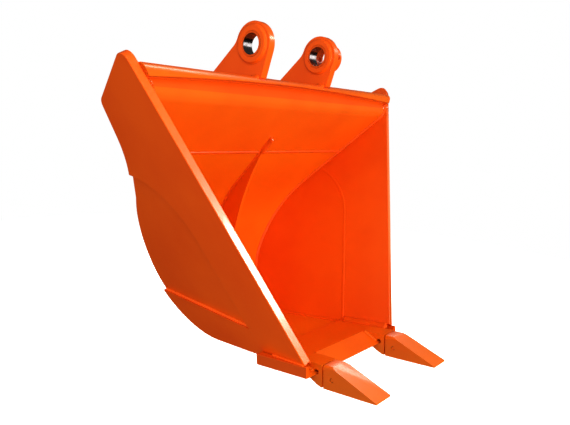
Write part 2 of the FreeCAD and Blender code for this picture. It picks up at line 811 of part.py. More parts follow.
def tooth_point():
    """The wedge point: a flat bottom, a short collar, a long slope to a wide edge."""
    rear, collar = -size("tooth_rear"), -size("tooth_rear") - size("collar_length")
    bottom, top = size("tooth_bottom"), size("tooth_top")
    side = [(rear, bottom), (rear, top), (collar, top),
            (-size("tooth_reach"), bottom + size("tooth_edge")), (-size("tooth_reach"), bottom)]
    left_face = tooth_middle - size("tip_width")
    body = padded("point_side", "YZ_Plane", side, "2 * Sizes.tip_width",
                  FreeCAD.Placement(V(left_face, 0, 0), FreeCAD.Rotation()))
    half, tip_half = size("tooth_width") / 2, size("tip_width") / 2
    plan = [(-half, rear), (half, rear), (tip_half, -size("tooth_reach")),
            (-tip_half, -size("tooth_reach"))]
    above = padded("point_plan", "XY_Plane", plan, "2 * (Sizes.tooth_top - Sizes.tooth_bottom)",
                   FreeCAD.Placement(V(tooth_middle, 0, bottom - size("tooth_edge")),
                                     FreeCAD.Rotation()))
    wedge = boolean("Common", "point_wedge", body, above)
    doc.recompute()
    rounded = add("Part::Fillet", "point_rounded")
    rounded.Base = wedge
    rounded.Edges = [(index, size("tooth_round"), size("tooth_round"))
                     for index in upper_side_edges(wedge.Shape, top)]
    hollow = boolean("Cut", "point_hollow", rounded, nose("point_pocket", size("nose_play")))
    return boolean("Cut", "tooth_point_right", hollow, pin_drill("point_drill"))


def upper_side_edges(shape, top):
    """The numbers of the two edges along the collar's upper corners."""
    lift = STAND.inverse()
    found = []
    for index, edge in enumerate(shape.Edges, start=1):
        ends = [lift.multVec(vertex.Point) for vertex in edge.Vertexes]
        level = all(abs(end.z - top) < 0.01 for end in ends)
        lengthwise = abs(ends[0].y - ends[1].y) > size("collar_length") / 2
        if level and lengthwise:
            found.append(index)
    return found


def lock_pin():
    """The round pin that holds the point, chamfered at both ends."""
    length = size("tooth_width") - 2 * size("lock_pin_recess")
    radius, bevel = size("lock_pin_radius"), size("lock_pin_chamfer")
    body = add("PartDesign::Body", "tooth_pin_right")
    sketch = new_sketch(body, "XY_Plane")
    draw(sketch, [(0, 0), (0, radius - bevel), (bevel, radius), (length - bevel, radius),
                  (length, radius - bevel), (length, 0)])
    turned = body.newObject("PartDesign::Revolution", "tooth_pin_turned")
    turned.Profile = sketch
    turned.ReferenceAxis = (sketch, ["H_Axis"])
    turned.Angle = 360
    start = V(tooth_middle - length / 2, -size("tooth_rear") - size("lock_pin_setback"),
              size("lock_pin_height"))
    body.Placement = standing(FreeCAD.Placement(start, FreeCAD.Rotation()))
    return body


def pin_retainer():
    ring_body = add("Part::Cylinder", "retainer_blank")
    ring_body.setExpression("Radius", "Sizes.retainer_radius")
    ring_body.setExpression("Height", "Sizes.retainer_thickness")
    ring_body.Placement = retainer_place(size("retainer_thickness"))
    return boolean("Cut", "pin_retainer_right", ring_body, pin_drill("retainer_drill"))


# The assembly.

pieces.append(cutting_edge())
pair(edge_block())
shell = shell_plate()
pieces += [shell, back_plate(), lip_bar(), box_rear_plate(shell), box_top_plate(), centre_rib()]
pair(box_web())
cheek = cheek_plate()
pair(cheek)
pair(side_wall(cheek))
pair(heel_plate(cheek))
pair(ear())
bosses_and_bushes()
pieces += [pin_collar("arm", arm_pin), pin_collar("link", link_pin)]
for make in (tooth_adapter, tooth_point, lock_pin, pin_retainer):
    pair(make())
doc.recompute()

# Every object has to be in order before a piece is written.

for item in doc.Objects:
    if "Invalid" in item.State or "Error" in item.State:
        raise RuntimeError(f"{item.Label} did not recompute: {item.State}")
for piece in pieces:
    if piece.Shape.isNull() or not piece.Shape.isValid() or not piece.Shape.Solids:
        raise RuntimeError(f"{piece.Label} has no valid solid")
for piece in pieces:
    piece.Shape.exportStep(f"parts/{piece.Label}.step")
print(f"{len(pieces)} pieces, tipped back {pitch:.2f} degrees")
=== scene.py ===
# %% [markdown]
# # A trapezoidal ditch bucket in orange enamel
# An excavator digs V-shaped ditches with this bucket. It is welded from plate: two thick
# flared cheeks, a rolled shell, a back plate bent up to a heavy lip, two ears with steel
# bushes for the machine's pins, and two teeth pinned to welded adapters. Everything is
# sprayed with orange enamel after welding, so the finish is one colour and the interest lies
# in soft edges, weld beads and the way light falls into the hollow. The rigid plates come
# from the frame. This file gives them rounded edges, welds, paint, light and a camera.

# %%
import json
import math

import bmesh
import bpy
import numpy as np
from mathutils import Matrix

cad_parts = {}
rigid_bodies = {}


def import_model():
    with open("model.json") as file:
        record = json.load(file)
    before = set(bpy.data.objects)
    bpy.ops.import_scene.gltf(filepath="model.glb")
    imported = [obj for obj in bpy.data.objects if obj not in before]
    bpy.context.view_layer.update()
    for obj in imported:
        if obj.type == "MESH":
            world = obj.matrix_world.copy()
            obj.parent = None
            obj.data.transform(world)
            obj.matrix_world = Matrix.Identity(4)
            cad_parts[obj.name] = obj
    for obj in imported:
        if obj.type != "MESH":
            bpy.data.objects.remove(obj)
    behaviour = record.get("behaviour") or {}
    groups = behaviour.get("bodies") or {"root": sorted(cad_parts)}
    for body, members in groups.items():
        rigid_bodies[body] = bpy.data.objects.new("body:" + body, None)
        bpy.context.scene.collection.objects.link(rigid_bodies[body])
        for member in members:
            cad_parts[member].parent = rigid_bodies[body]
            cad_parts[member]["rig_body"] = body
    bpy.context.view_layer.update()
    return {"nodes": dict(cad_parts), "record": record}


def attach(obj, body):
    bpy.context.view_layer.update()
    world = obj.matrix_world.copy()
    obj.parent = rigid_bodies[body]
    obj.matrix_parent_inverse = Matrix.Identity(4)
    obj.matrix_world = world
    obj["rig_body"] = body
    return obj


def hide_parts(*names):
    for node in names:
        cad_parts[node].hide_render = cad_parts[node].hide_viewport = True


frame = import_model()
scene = bpy.context.scene
MM = 0.001
print("nodes in the frame:", len(frame["nodes"]))

# %% [markdown]
# ## The level drawing
# A bucket is drawn with its cutting edge level, and it stands tipped back on its teeth and
# heel. The few sizes that the welds and the camera need are those of that drawing, in
# millimetres. The frame's record says where the two pin lines really are, so the tip and
# the shift between drawing and stand are worked out from those two points, not typed.

# %%
ARM_PIN = np.array([267.7, 992.4])      # depth and height in the level drawing
PIN_LINE_ANGLE = math.radians(-39.42)   # from the arm pin down to the link pin
mounts = {mount["name"]: np.array(mount["pos_m"][1:]) / MM for mount in frame["record"]["mounts"]}
pin_line = mounts["link_pin_bore"] - mounts["arm_pin_bore"]
tip = PIN_LINE_ANGLE - math.atan2(pin_line[1], pin_line[0])
tip_matrix = np.array([[math.cos(tip), math.sin(tip)], [-math.sin(tip), math.cos(tip)]])
shift = mounts["arm_pin_bore"] - tip_matrix @ ARM_PIN
print(f"tipped back {math.degrees(tip):.2f} degrees, moved by {shift.round(1)} mm")


def turned(vectors):
    """Level directions as the bucket stands: a turn about X by the tip angle."""
    vectors = np.asarray(vectors, float)
    return np.concatenate([vectors[..., :1], vectors[..., 1:] @ tip_matrix.T], axis=-1)


def standing(points):
    """Level points in millimetres, carried to the stand, in metres."""
    placed = turned(points)
    placed[..., 1:] += shift
    return placed * MM


# %% [markdown]
# ## The cheeks' planes
# Both cheeks lean back, flare out and toe in a little to the rear. Where a weld runs along
# a cheek, its points are found in the side view first, and the width is then the distance
# from the middle to the cheek's inner face at that depth and height.

# %%
FOOT = np.array([256.0, 10.0, 34.0])    # lower front corner of the right cheek's outer face
LEAN_ANGLE, FLARE_ANGLE, TAPER_ANGLE = (math.radians(angle) for angle in (16.47, 25.0, 6.25))
LEAN, FLARE, TAPER = (math.tan(angle) for angle in (LEAN_ANGLE, FLARE_ANGLE, TAPER_ANGLE))
SPREAD = FLARE + TAPER * LEAN
CHEEK, PLATE = 25.0, 12.0               # thickness of the cheeks and of the shell
OUTWARD = np.array([1.0, TAPER, -SPREAD]) / math.sqrt(1 + TAPER ** 2 + SPREAD ** 2)
UP_EDGE = np.array([FLARE, LEAN, 1.0]) / math.sqrt(FLARE ** 2 + LEAN ** 2 + 1)
REARWARD = np.cross(UP_EDGE, OUTWARD)


def half_width(side, out=-CHEEK):
    """Distance from the middle to the cheek's face for (depth, height) rows:
    a plane, so a sum of a constant, a share of the height and a share of the depth."""
    across = FOOT[0] + SPREAD * (side[:, 1] - FOOT[2]) - TAPER * (side[:, 0] - FOOT[1])
    return across + out / OUTWARD[0]


def at_cheek(side, hand, out=-CHEEK):
    """Side view rows as 3-D rows on a face of the left (-1) or right (+1) cheek."""
    return np.column_stack([hand * half_width(side, out), side])


# %% [markdown]
# ## The side view
# The inside of the bucket, seen from the side, is a floor, a tight heel, a wide arc for the
# back and then a straight plate that bends up to the lip. Straight lines and arcs sampled
# evenly are enough to describe it. Its points are pairs of depth and height.

# %%
def toward(angle):
    """The side view direction at an angle above straight back."""
    return np.array([math.cos(angle), math.sin(angle)])


BLADE_DEPTH, BLADE_TOP, FLOOR = 196.0, FOOT[2], 27.0
HEEL, HEEL_RADIUS = np.array([428.7, 255.0]), 228.0
BACK_RADIUS, JOIN, SLOPE = 400.0, math.radians(3.33), math.radians(43.5)
TANGENT = math.pi / 2 - SLOPE
BACK = HEEL - (BACK_RADIUS - HEEL_RADIUS) * toward(JOIN)
BACK_END = BACK + BACK_RADIUS * toward(TANGENT)
UPHILL = np.array([-math.cos(SLOPE), math.sin(SLOPE)])
SEAM_DEPTH, BEND_RADIUS = 405.0, 45.0
MOUTH_FOOT = np.array([12.0, BLADE_TOP])
MOUTH = np.array([math.sin(LEAN_ANGLE), math.cos(LEAN_ANGLE)])
STEP = 2.0                              # millimetres between the points of a weld


def line(a, b):
    """Points from a to b: a straight mix of both ends."""
    a, b = np.asarray(a, float), np.asarray(b, float)
    share = np.linspace(0, 1, max(2, int(np.linalg.norm(b - a) / STEP)))[:, None]
    return a + share * (b - a)


def arc(centre, radius, start, end):
    """Points on a circle from one angle to another, in radians."""
    angle = np.linspace(start, end, max(3, int(abs(end - start) * radius / STEP)))
    return np.asarray(centre) + radius * np.column_stack([np.cos(angle), np.sin(angle)])


def shell_line(out):
    """Floor, heel and back in the side view, at a distance outside the inner face."""
    return np.concatenate([
        line((BLADE_DEPTH, FLOOR - out), (HEEL[0], FLOOR - out))[:-1],
        arc(HEEL, HEEL_RADIUS + out, -math.pi / 2, JOIN)[:-1],
        arc(BACK, BACK_RADIUS + out, JOIN, TANGENT)])


def seam_point(out):
    """The seam between shell and back plate, on the straight part behind the arc."""
    run = (BACK_END[0] - SEAM_DEPTH) / math.cos(SLOPE)
    return BACK + (BACK_RADIUS + out) * toward(TANGENT) + run * UPHILL


def mouth_point(height, out=0.0):
    """A point of the upright face of the back plate at a height."""
    foot = MOUTH_FOOT + out * np.array([MOUTH[1], -MOUTH[0]])
    return foot + MOUTH * (height - foot[1]) / MOUTH[1]


def back_corner(out):
    """Where the sloping and the upright face of the back plate would meet."""
    a, b = seam_point(out), mouth_point(0.0, out)
    run = np.linalg.solve(np.column_stack([UPHILL, -MOUTH]), b - a)[0]
    return a + run * UPHILL


def back_line(out, top):
    """The back plate's face from the seam, round its bend, up to a height."""
    corner, radius = back_corner(out), BEND_RADIUS - out
    half_turn = (math.atan2(UPHILL[1], UPHILL[0]) - math.atan2(MOUTH[1], MOUTH[0])) / 2
    cut = radius * math.tan(half_turn)
    start, end = corner - UPHILL * cut, corner + MOUTH * cut
    centre = start + radius * np.array([math.sin(SLOPE), math.cos(SLOPE)])
    angles = [math.atan2(*(p - centre)[::-1]) % (2 * math.pi) for p in (start, end)]
    return np.concatenate([line(seam_point(out), start)[:-1],
                           arc(centre, radius, *angles)[:-1],
                           line(end, mouth_point(top, out))])


# %% [markdown]
# ## Orange enamel
# The paint is a two-pack alkyd enamel, sprayed wet on grit-blasted steel. Up close it has
# the fine cells that painters call orange peel, a slow drift in thickness from pass to
# pass, and a dull grain where overspray landed. So the base colour drifts between two near
# oranges, the roughness drifts with it, and two bumps of very different scale bend the
# reflections. Enamel's index of refraction is about 1.5, which is the shader's default.
# The hollow's faces, the lip, the rib and the cutting edge get yellower copies of the same
# enamel, and the shell's inner face the yellowest: painted light for the brightly lit hollow.

# %%
def linear(code):
    """An sRGB hex value as a linear colour: the sRGB curve undone, channel by channel."""
    parts = np.array([int(code[i:i + 2], 16) for i in (1, 3, 5)]) / 255
    parts = np.where(parts <= 0.04045, parts / 12.92, ((parts + 0.055) / 1.055) ** 2.4)
    return (*parts, 1.0)


def node(tree, kind, links=None, **settings):
    """Adds a shader node. Settings name its properties or its input sockets, and links
    join other nodes' outputs to its inputs."""
    made = tree.nodes.new("ShaderNode" + kind)
    for name, value in settings.items():
        socket = made.inputs.get(name.replace("_", " "))
        if hasattr(made, name):
            setattr(made, name, value)
        else:
            socket.default_value = value
    for name, source in (links or {}).items():
        tree.links.new(source, made.inputs[name])
    return made


def material(name):
    """A new material with an empty node tree."""
    made = bpy.data.materials.new(name)
    made.use_nodes = True
    made.node_tree.nodes.clear()
    return made, made.node_tree


DRIFT_CELL, WAVE_CELL, GRAIN_CELL, PEEL_CELL = (size * MM for size in (260, 45, 9, 5))
COAT, COAT_GLOSS = 0.25, 0.12


def enamel(name, light, deep, gloss):
    """Sprayed enamel between two near colours."""
    made, tree = material(name)
    place = node(tree, "TexCoord").outputs["Object"]
    drift = node(tree, "TexNoise", {"Vector": place}, Scale=1 / DRIFT_CELL, Detail=3.0)
    grain = node(tree, "TexNoise", {"Vector": place}, Scale=1 / GRAIN_CELL, Detail=4.0)
    tone = node(tree, "MapRange", {"Value": drift.outputs["Fac"]}, From_Min=0.35, From_Max=0.65)
    colour = node(tree, "MixRGB", {"Fac": tone.outputs["Result"]},
                  Color1=linear(light), Color2=linear(deep))
    dull = node(tree, "MapRange", {"Value": grain.outputs["Fac"]}, From_Min=0.3, From_Max=0.7,
                To_Min=gloss - 0.04, To_Max=gloss + 0.06)
    peel = node(tree, "TexNoise", {"Vector": place}, Scale=1 / PEEL_CELL, Detail=1.0)
    wave = node(tree, "TexNoise", {"Vector": place}, Scale=1 / WAVE_CELL, Detail=1.0)
    skin = node(tree, "Bump", {"Height": peel.outputs["Fac"]}, Strength=0.25, Distance=0.35 * MM)
    form = node(tree, "Bump", {"Height": wave.outputs["Fac"], "Normal": skin.outputs["Normal"]},
                Strength=0.3, Distance=1.2 * MM)
    shader = node(tree, "BsdfPrincipled", {
        "Base Color": colour.outputs["Color"], "Roughness": dull.outputs["Result"],
        "Normal": form.outputs["Normal"]})
    shader.inputs["Coat Weight"].default_value = COAT
    shader.inputs["Coat Roughness"].default_value = COAT_GLOSS
    node(tree, "OutputMaterial", {"Surface": shader.outputs["BSDF"]})
    return made


plate_enamel = enamel("orange_enamel", "#F26A10", "#EC610C", 0.34)
# Two yellower copies of the same enamel: painted light that makes the hollow look more brightly
# lit.
yellower_lit_enamel = enamel("orange_enamel_painted_light", "#F47610", "#EE6C0C", 0.34)
yellowest_lit_enamel = enamel("orange_enamel_more_painted_light", "#F47E12", "#EE740E", 0.34)
tooth_enamel = enamel("orange_enamel_cast", "#F67E18", "#F07612", 0.38)

# %% [markdown]
# ## Bored and turned steel
# The bushes are bored after painting, so their insides are bare steel with the fine rings
# that a boring bar leaves. The lock pins are turned bar. Both are metals: the colour sits
# in the reflection, and a bump of waves along the axis gives the rings. Real rings are a
# tenth of a millimetre apart and wouldn't show, so they are drawn as waves 13 mm apart.

# %%
STAIN_CELL = 14 * MM
RING_SCALE = 25.0                       # a wave texture at this scale has a wave every 13 mm


def bored_steel(name, tone, gloss):
    """Machined steel with rings round the X axis."""
    made, tree = material(name)
    place = node(tree, "TexCoord").outputs["Object"]
    rings = node(tree, "TexWave", {"Vector": place}, wave_type="BANDS", bands_direction="X",
                 Scale=RING_SCALE, Distortion=1.5, Detail=2.0)
    stain = node(tree, "TexNoise", {"Vector": place}, Scale=1 / STAIN_CELL, Detail=4.0)
    colour = node(tree, "MixRGB", {"Fac": stain.outputs["Fac"]},
                  Color1=linear(tone), Color2=linear("#7C7068"))
    rough = node(tree, "MapRange", {"Value": stain.outputs["Fac"]},
                 To_Min=gloss - 0.06, To_Max=gloss + 0.12)
    bump = node(tree, "Bump", {"Height": rings.outputs["Fac"]}, Strength=0.3, Distance=0.15 * MM)
    shader = node(tree, "BsdfPrincipled", {
        "Base Color": colour.outputs["Color"], "Roughness": rough.outputs["Result"],
        "Normal": bump.outputs["Normal"]})
    shader.inputs["Metallic"].default_value = 1.0
    node(tree, "OutputMaterial", {"Surface": shader.outputs["BSDF"]})
    return made


bush_steel = bored_steel("bored_bush_steel", "#C4C2C4", 0.22)
pin_steel = bored_steel("turned_pin_steel", "#8F8C8A", 0.36)

# %% [markdown]
# ## Rounded copies of the plates
# Flame-cut and sheared plate has a small radius once it has been ground and painted, and
# that radius catches the light. The frame's meshes are exact and sharp. A copy of each is
# merged, its flat faces are joined into one, and a Bevel modifier rounds what is sharp.
# The copy then stands for the frame's piece and rides on the same body. A bush is sprayed
# with the rest and bored clean later, so its end faces are orange and its bore is bare.

# %%
SHARP, FLAT = math.radians(28), math.radians(0.5)
MERGE = 0.01 * MM
HOLLOW = standing([[0.0, 180.0, 420.0]])[0]     # a point in the middle of the hollow


def looks_sideways(centres, normals):
    """True for the faces that look along the X axis."""
    return np.abs(normals[:, 0]) > 0.8


def looks_inward(centres, normals):
    """True for the faces that look towards the middle of the hollow."""
    return ((HOLLOW - centres) * normals).sum(axis=1) > 0


def rounded(name, paint, radius, other=None, where=None):
    """A merged copy of a node with its sharp edges rounded, standing for the node. The faces
    that the rule picks from their centres and normals get the other paint."""
    source = frame["nodes"][name]
    mesh = source.data.copy()
    mesh.name = name + "_rounded"
    form = bmesh.new()
    form.from_mesh(mesh)
    bmesh.ops.remove_doubles(form, verts=form.verts, dist=MERGE)
    bmesh.ops.dissolve_limit(form, angle_limit=FLAT, verts=form.verts, edges=form.edges,
                             delimit=set())
    form.to_mesh(mesh)
    form.free()
    mesh.polygons.foreach_set("use_smooth", np.ones(len(mesh.polygons), bool))
    mesh.set_sharp_from_angle(angle=SHARP)
    mesh.materials.clear()
    mesh.materials.append(paint)
    if other:
        mesh.materials.append(other)
        centres, normals = np.empty((2, 3 * len(mesh.polygons)), np.float32)
        mesh.polygons.foreach_get("center", centres)
        mesh.polygons.foreach_get("normal", normals)
        chosen = where(centres.reshape(-1, 3), normals.reshape(-1, 3))
        mesh.polygons.foreach_set("material_index", chosen.astype(np.int32))
    piece = bpy.data.objects.new(name + "_rounded", mesh)
    scene.collection.objects.link(piece)
    bevel = piece.modifiers.new("rounded edges", "BEVEL")
    bevel.width, bevel.segments = radius * MM, 3
    bevel.limit_method, bevel.angle_limit = "ANGLE", SHARP
    bevel.harden_normals = True
    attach(piece, source["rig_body"])
    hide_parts(name)


EDGE_RADIUS = {"cheek": 2.5, "side": 1.2, "heel": 1.5, "cutting": 1.5, "edge": 2.0, "shell": 1.2,
               "back": 1.0, "lip": 2.0, "box": 1.2, "centre": 1.8, "ear": 2.5, "arm": 2.0,
               "link": 2.0}
for name, source in frame["nodes"].items():
    family = name.split("_")[0]
    if "bush" in name:
        rounded(name, bush_steel, 1.5, other=plate_enamel, where=looks_sideways)
    elif name.startswith("tooth_pin"):
        rounded(name, pin_steel, 0.5, other=tooth_enamel, where=looks_sideways)
    elif family == "pin":
        source.data.materials.clear()
        source.data.materials.append(pin_steel)
    # Faces looking into the hollow get the yellower copies of the enamel: painted light.
    elif family in ("shell", "back"):
        rounded(name, plate_enamel, EDGE_RADIUS[family],
                other=yellowest_lit_enamel if family == "shell" else yellower_lit_enamel, where=looks_inward)
    # Lip, rib and cutting edge get the yellower copy too: painted light.
    elif family in ("lip", "centre", "cutting"):
        rounded(name, yellower_lit_enamel, EDGE_RADIUS[family])
    elif family == "tooth":
        rounded(name, tooth_enamel, 2.5)
    else:
        rounded(name, plate_enamel, EDGE_RADIUS[family])

# %% [markdown]
# ## Weld beads
# What holds the bucket together is weld metal, and it reads as thin ripples of light along
# every joint. In a corner the bead is a fillet, a little rounder than a flat chamfer. Over
# a butt joint it is a low cushion. Each is a profile carried along a path: the section is
# laid out on two directions at every point, and the ripples come from a wave that runs
# along the path and lags towards the middle of the section, as cooled weld pools do. Real
# ripples are about 1 mm apart and are drawn 4 mm apart, so that they show. Three slow waves
# of unlike reach and random start add the drift of a welder's hand.

# %%
RIPPLE, LAG = 4.0, 1.6                  # millimetres between ripples, radians at mid-section
RIPPLE_SHARE, DRIFT_SHARE = 0.05, 0.02
DRIFT_REACHES = (9.0, 23.0, 61.0)
rng = np.random.default_rng(7)


def unit(vectors):
    """Vectors divided by their lengths."""
    vectors = np.asarray(vectors, float)
    return vectors / np.linalg.norm(vectors, axis=-1, keepdims=True)


def along(direction, count):
    """One direction repeated for every point of a path."""
    return np.broadcast_to(np.asarray(direction, float), (count, 3))


def tube(path, first, second, section, leg, closed=False):
    """A closed tube of weld metal. Row i is path[i] + leg * (x * first[i] + y * second[i])
    for the section's (x, y) pairs, with leg rippled and slowly varied along the path."""
    rows, columns = len(path), len(section)
    run = np.concatenate([[0.0], np.cumsum(np.linalg.norm(np.diff(path, axis=0), axis=1))])
    lag = LAG * np.cos(np.linspace(-np.pi / 2, np.pi / 2, columns))
    wave = np.sin(2 * np.pi * run[:, None] / RIPPLE + lag[None, :])
    phases = rng.uniform(0, 2 * np.pi, 3)
    drift = sum(np.sin(run / reach + phase) for reach, phase in zip(DRIFT_REACHES, phases))
    size = leg * (1 + RIPPLE_SHARE * wave + DRIFT_SHARE * drift[:, None])
    if not closed:
        ends = np.minimum(run, run[-1] - run) / (0.6 * leg)
        size = size * np.sqrt(np.clip(ends, 0.05, 1))[:, None]
    points = path[:, None, :] + size[..., None] * (
        section[None, :, :1] * first[:, None, :] + section[None, :, 1:] * second[:, None, :])
    row, column = np.meshgrid(np.arange(rows if closed else rows - 1), np.arange(columns),
                              indexing="ij")
    next_row, next_column = (row + 1) % rows, (column + 1) % columns
    quads = np.stack([row * columns + column, row * columns + next_column,
                      next_row * columns + next_column, next_row * columns + column], axis=-1)
    faces = quads.reshape(-1, 4).tolist()
    if not closed:
        last = (rows - 1) * columns
        faces.append(list(range(columns))[::-1])
        faces.append([last + index for index in range(columns)])
    flat = points.reshape(-1, 3)
    a, b, c = (flat[quads.reshape(-1, 4)[:, index]] - flat[0] for index in (0, 1, 2))
    if (np.cross(a, b) * c).sum() < 0:
        faces = [face[::-1] for face in faces]
    return flat, faces


QUARTER = np.linspace(0, np.pi / 2, 7)
ROUNDNESS = 1.35                        # 1 is a flat chamfer and 2 a quarter circle
FILLET = np.vstack([
    np.column_stack([np.cos(QUARTER) ** (2 / ROUNDNESS), np.sin(QUARTER) ** (2 / ROUNDNESS)]),
    [[-0.15, -0.15]]])
HALF = np.linspace(0, np.pi, 9)
CUSHION = np.vstack([np.column_stack([np.cos(HALF), np.sin(HALF)]), [[0.0, -0.4]]])


def fillet(path, normal_a, normal_b, leg, closed=False):
    """A fillet in the corner of two faces, given their normals: on each face the bead
    runs out along the other face's normal, made square to its own."""
    normal_a, normal_b = (unit(along(n, len(path))) for n in (normal_a, normal_b))
    both = (normal_a * normal_b).sum(axis=1, keepdims=True)
    on_a, on_b = unit(normal_b - both * normal_a), unit(normal_a - both * normal_b)
    return tube(path, on_a, on_b, FILLET, leg, closed)


def cushion(path, normal, half, rise=0.42):
    """A low bead over a butt joint: half its width, and a share of that as its height."""
    normal = unit(along(normal, len(path)))
    forward = unit(np.gradient(path, axis=0))
    section = CUSHION * [1.0, rise]
    return tube(path, unit(np.cross(forward, normal)), normal, section, half)


def welds(name, beads, paint):
    """One piece from several beads, placed on the bucket."""
    points, faces, count = [], [], 0
    for flat, own in beads:
        points.append(flat)
        faces += [[index + count for index in face] for face in own]
        count += len(flat)
    mesh = bpy.data.meshes.new(name)
    mesh.from_pydata(standing(np.concatenate(points)).tolist(), [], faces)
    mesh.polygons.foreach_set("use_smooth", np.ones(len(mesh.polygons), bool))
    mesh.materials.append(paint)
    piece = bpy.data.objects.new(name, mesh)
    scene.collection.objects.link(piece)
    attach(piece, "root")
    print(name, len(beads), "beads,", len(faces), "faces")


# %% [markdown]
# ## Welds inside the bucket
# Inside, one fillet runs from the cutting edge round the heel and up to the lip in both
# corners, a flat bead closes the seam between shell and back plate, and the rib has a
# fillet on either side and a heavy cap round its upper end, where it would tear first. The
# path of a corner weld is a side view line set against the cheek's plane. The shell's
# normal is the side view direction turned by a right angle.

# %%
def side_normals(side, turn=1.0):
    """Normals of a surface that runs straight across, from its side view: the direction
    along the line turned by a right angle, to the left for +1."""
    way = unit(np.gradient(side, axis=0))
    return np.column_stack([np.zeros(len(side)), -turn * way[:, 1], turn * way[:, 0]])


def mirrored(hand, vector):
    """A right-hand vector as it is on the left (-1) or right (+1) side."""
    return np.asarray(vector, float) * np.array([hand, 1.0, 1.0])


LIP_TOP, LIP_HEIGHT, LIP_DEPTH, LIP_ARCH, NOSE_RADIUS = 890.0, 38.0, 19.0, 21.0, 25.0
INSET = 4.0                             # a bead stops this far short of a plate's end
lip_bottom = LIP_TOP - LIP_HEIGHT
inner_side = np.concatenate([shell_line(0.0)[:-1], line(BACK_END, seam_point(0.0))[:-1],
                             back_line(0.0, lip_bottom - INSET)])
UP, DOWN, REAR = (0, 0, 1), (0, 0, -1), (0, 1, 0)
RIB_HALF, RIB_START, RIB_REACH = 6.0, math.radians(-54), 236.0
CAP_LENGTH, CAP_OVERHANG = 60.0, 17.0


def inside_welds():
    """Both lower corners: shell and back against the cheek, blade against the cheek."""
    beads = []
    for hand in (-1, 1):
        inward = mirrored(hand, -OUTWARD)
        beads.append(fillet(at_cheek(inner_side, hand), side_normals(inner_side), inward, leg=7))
        blade = line((FOOT[1] + INSET, BLADE_TOP), (BLADE_DEPTH - INSET, BLADE_TOP))
        beads.append(fillet(at_cheek(blade, hand), UP, inward, leg=15))
    return beads


def at_width(x, side):
    """Side view rows as 3-D rows at one distance from the middle."""
    return np.column_stack([np.full(len(side), x), side])


def across(point, gap=6.0):
    """A straight path from cheek to cheek through a side view point, short of both by a gap."""
    half = half_width(np.array([point], float))[0] - gap
    return line((-half, *point), (half, *point))


def seam_welds():
    """The seam of shell and back plate on both faces, and the shell's step to the blade."""
    outer_face = np.array([0, math.sin(SLOPE), math.cos(SLOPE)])
    return [cushion(across(seam_point(0.0)), -outer_face, half=5.5, rise=0.6),
            cushion(across(seam_point(PLATE)), outer_face, half=5.0),
            fillet(across((BLADE_DEPTH, FLOOR)), UP, REAR, leg=7),
            fillet(across((BLADE_DEPTH, FLOOR - PLATE)), DOWN, REAR, leg=8)]


def rib_welds():
    """A cap over the rib's upper end and a fillet down either side, along the shell."""
    reach = BACK_END + RIB_REACH * UPHILL
    side = np.concatenate([arc(HEEL, HEEL_RADIUS, RIB_START, JOIN)[:-1],
                           arc(BACK, BACK_RADIUS, JOIN, TANGENT)[:-1], line(BACK_END, reach)])
    end = line(reach - CAP_LENGTH * UPHILL, reach + CAP_OVERHANG * UPHILL)
    cap = cushion(at_width(0.0, end), side_normals(end), half=8.5, rise=1.7)
    return [cap] + [fillet(at_width(hand * RIB_HALF, side), side_normals(side), (hand, 0, 0), leg=5)
                    for hand in (-1, 1)]


welds("weld_inner_corners", inside_welds(), plate_enamel)
welds("weld_plate_seams", seam_welds(), plate_enamel)
welds("weld_centre_rib", rib_welds(), plate_enamel)

# %% [markdown]
# ## Welds of lip, torsion box and ears
# The lip bar is welded along its arched lower edge, with a heavy tack in both corners.
# Behind it the torsion box closes on the cheeks and on the shell, and the ears stand on
# both with a heavy fillet all round.

# %%
lip_rear_low = mouth_point(lip_bottom)[0]
NOSE = np.array([lip_rear_low - LIP_DEPTH + NOSE_RADIUS, LIP_TOP - NOSE_RADIUS])
BOX_EDGE = np.array([493.0, 775.0])


def lip_crest():
    """Where the round nose meets the plane of the back plate: a circle cut by a line."""
    away = NOSE - mouth_point(0.0)
    run, off = away @ MOUTH, away[0] * MOUTH[1] - away[1] * MOUTH[0]
    return mouth_point(0.0) + MOUTH * (run + math.sqrt(NOSE_RADIUS ** 2 - off ** 2))


CREST = lip_crest()
crest_angle = math.atan2(*(CREST - NOSE)[::-1])
box_top_normal = unit([0, -(BOX_EDGE - CREST)[1], (BOX_EDGE - CREST)[0]])


def lip_welds():
    """The lip's arched lower edge, which is a circle through its middle and both ends, the
    line behind its nose, and both edges of the box's top."""
    half = half_width(np.array([[NOSE[0] - NOSE_RADIUS, LIP_TOP]]))[0]
    radius = (half ** 2 + LIP_ARCH ** 2) / (2 * LIP_ARCH)
    x = np.linspace(-half + 12, half - 12, 500)
    z = lip_bottom + LIP_ARCH - radius + np.sqrt(radius ** 2 - x ** 2)
    y = mouth_point(0.0)[0] + z * MOUTH[0] / MOUTH[1]
    edge = np.column_stack([x, y, z])
    face = (0, -MOUTH[1], MOUTH[0])
    beads = [fillet(edge, DOWN, face, 5), cushion(across(CREST), box_top_normal, 4.0)]
    top = line(CREST, BOX_EDGE)
    return beads + [fillet(at_cheek(top, hand), side_normals(top), mirrored(hand, -OUTWARD), 7)
                    for hand in (-1, 1)]


def tack_welds():
    """A short heavy bead under either end of the lip."""
    under = line(mouth_point(lip_bottom - 26.0), mouth_point(lip_bottom - 3.0))
    return [fillet(at_cheek(under, hand), side_normals(under), mirrored(hand, -OUTWARD), 15)
            for hand in (-1, 1)]


BOX_LAND, BOX_SLOPE = math.radians(40.8), math.radians(59.5)
BOX_BEND_RADIUS = 230.0
box_foot = BACK + (BACK_RADIUS + PLATE) * toward(BOX_LAND)


def box_welds():
    """The rear plate's foot on the shell and its bend to the top plate."""
    rear_face = (0, math.sin(BOX_SLOPE), math.cos(BOX_SLOPE))
    shell_face = (0, math.cos(BOX_LAND), math.sin(BOX_LAND))
    return [fillet(across(box_foot), rear_face, shell_face, 8),
            cushion(across(BOX_EDGE, gap=4.0), unit((0, 0.8, 1.0)), 4.5)]


